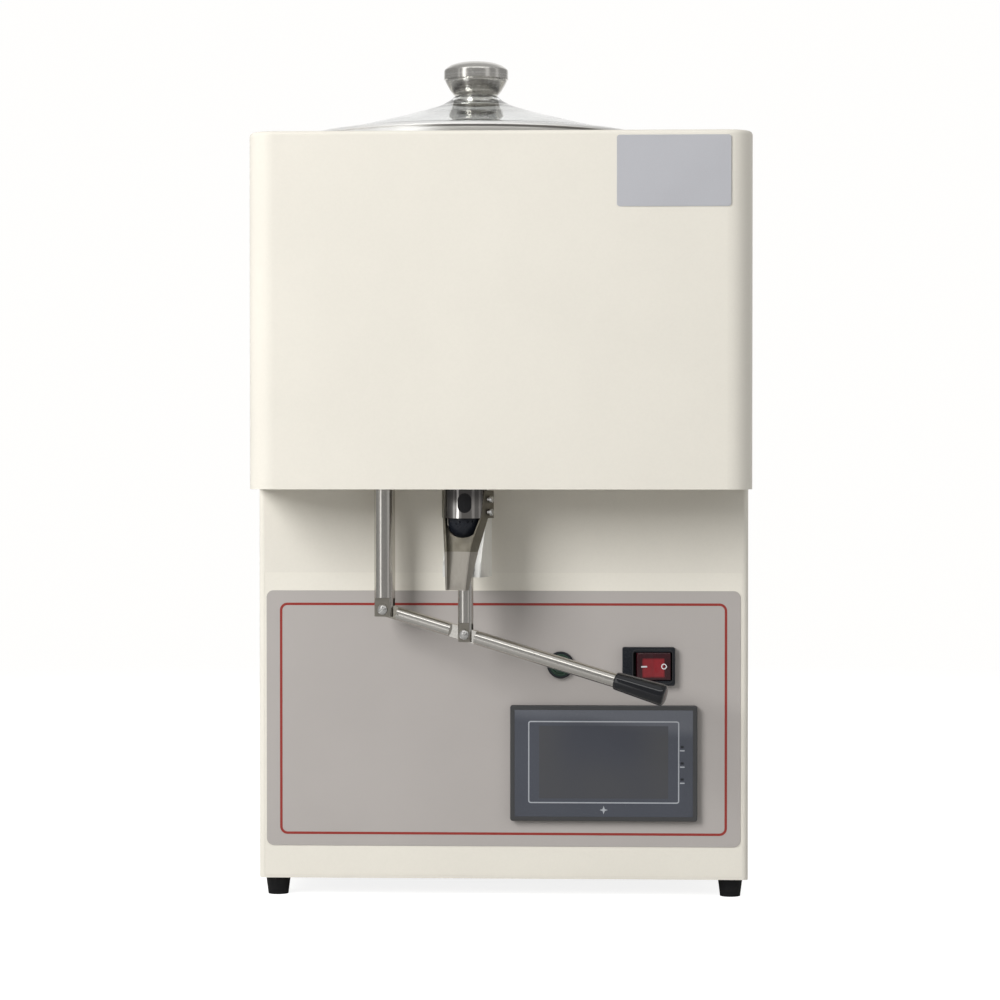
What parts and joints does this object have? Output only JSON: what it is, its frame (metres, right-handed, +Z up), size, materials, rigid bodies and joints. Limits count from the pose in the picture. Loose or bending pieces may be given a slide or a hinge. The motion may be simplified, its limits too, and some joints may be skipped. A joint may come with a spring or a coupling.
{
  "type": "dental agar mixer and dispenser",
  "caption": "Bench-top heated agar mixer: boxy head with a glass-lidded stirred pot over a set-back control column, and a lever-worked outlet valve with a chute under the head.",
  "frame": {"origin": "on the bench under the middle of the overall box, midway between the front of the grip and the back of the head", "axes": "+Z up, +X to the right as seen by the user, -Y towards the user (the chute and the controls face -Y)"},
  "size_m": [0.356, 0.379, 0.6174],
  "materials": {
    "cream_enamel": "cream powder coat, fine orange peel, semi-gloss",
    "grey_enamel": "cream-grey powder coat, satin",
    "label_grey": "grey printed film, satin, red border line",
    "label_silver": "silver-grey plate, satin, left blank",
    "polished_steel": "polished stainless steel",
    "satin_steel": "brushed stainless steel",
    "screw_steel": "plated steel",
    "block_alloy": "bead-blasted alloy",
    "clear_glass": "clear tempered glass",
    "grip_black": "black moulded plastic, gloss",
    "black_plastic": "black moulded plastic, fine texture",
    "touch_glass": "blue-grey film over a dark display",
    "red_lens": "translucent red plastic",
    "green_lens": "translucent green plastic",
    "black_rubber": "black rubber",
    "white_silicone": "white silicone rubber",
    "orange_silicone": "orange silicone heating mat",
    "grey_felt": "light grey insulation felt",
    "white_polymer": "white low-friction polymer",
    "motor_black": "black painted steel"
  },
  "bodies": {
    "housing": {"base_plate": "grey_enamel", "rubber_feet": "black_rubber", "foot_screws": "screw_steel", "column_shell": "cream_enamel", "fascia_panel": "cream_enamel", "fascia_label": "label_grey", "rear_panel": "grey_enamel", "rear_screws": "screw_steel", "head_casing": "cream_enamel", "head_floor": "grey_enamel", "head_screws": "screw_steel", "label_plate": "label_silver", "mixing_pot": "polished_steel", "pot_seal_ring": "white_silicone", "heating_jacket": "orange_silicone", "insulation_blanket": "grey_felt", "temperature_probe": "satin_steel", "shaft_bearing": "satin_steel", "shaft_seal": "white_silicone", "gearbox": "block_alloy", "stirrer_motor": "motor_black", "motor_bracket": "grey_enamel", "outlet_pipe": "satin_steel", "outlet_tube": "polished_steel", "port_bung": "black_rubber", "valve_spring": "screw_steel", "valve_housing": "block_alloy", "guide_bush": "white_polymer", "chute": "satin_steel", "chute_screws": "screw_steel", "support_rod": "satin_steel", "support_nut": "screw_steel", "pivot_screw": "screw_steel", "touch_panel_bezel": "black_plastic", "touch_panel_glass": "touch_glass", "touch_panel_body": "black_plastic", "switch_bezel": "black_plastic", "switch_body": "black_plastic", "lamp_bezel": "black_plastic", "lamp_lens": "green_lens", "fan_frame": "black_plastic", "fan_guard": "satin_steel", "fan_screws": "screw_steel", "power_inlet": "black_plastic", "power_supply": "block_alloy", "heater_relay": "black_plastic"},
    "lid": {"lid_glass": "clear_glass", "lid_rim": "polished_steel", "lid_knob": "polished_steel", "lid_hub": "polished_steel"},
    "stirrer": {"stirrer_shaft": "satin_steel", "stirrer_paddle": "satin_steel"},
    "lever": {"lever_arm": "satin_steel", "lever_grip": "grip_black"},
    "valve": {"valve_rod": "satin_steel", "valve_plug": "black_rubber", "valve_pin": "screw_steel"},
    "rocker": {"switch_rocker": "red_lens"},
    "fan": {"fan_rotor": "black_plastic"}
  },
  "joints": [
    {"name": "lid_lift", "type": "slide", "parent": "housing", "child": "lid", "axis": [0, 0, 1], "range_m": [0, 0.15]},
    {"name": "stirrer_spin", "type": "hinge", "parent": "housing", "child": "stirrer", "pos_m": [-0.025, 0.01152, 0.305], "axis": [0, 0, 1], "continuous": true},
    {"name": "lever_lift", "type": "hinge", "parent": "housing", "child": "lever", "pos_m": [-0.084, -0.12648, 0.2092], "axis": [-0.2693, -0.963, 0], "range_deg": [0, 8.49], "stiffness_Nm_per_rad": 2, "springref_deg": -8.59},
    {"name": "valve_slide", "type": "slide", "parent": "housing", "child": "valve", "axis": [0, 0, 1], "range_m": [0, 0.0095], "deforming": ["valve_spring"]},
    {"name": "rocker_tilt", "type": "hinge", "parent": "housing", "child": "rocker", "pos_m": [0.1082, -0.10588, 0.1675], "axis": [0, 0, -1], "range_deg": [0, 20]},
    {"name": "fan_spin", "type": "hinge", "parent": "housing", "child": "fan", "pos_m": [0.072, 0.17102, 0.205], "axis": [0, 1, 0], "continuous": true}
  ],
  "couplings": [
    {"joint": "valve_slide", "follows": "lever_lift", "m_per_rad": 0.063747}
  ]
}
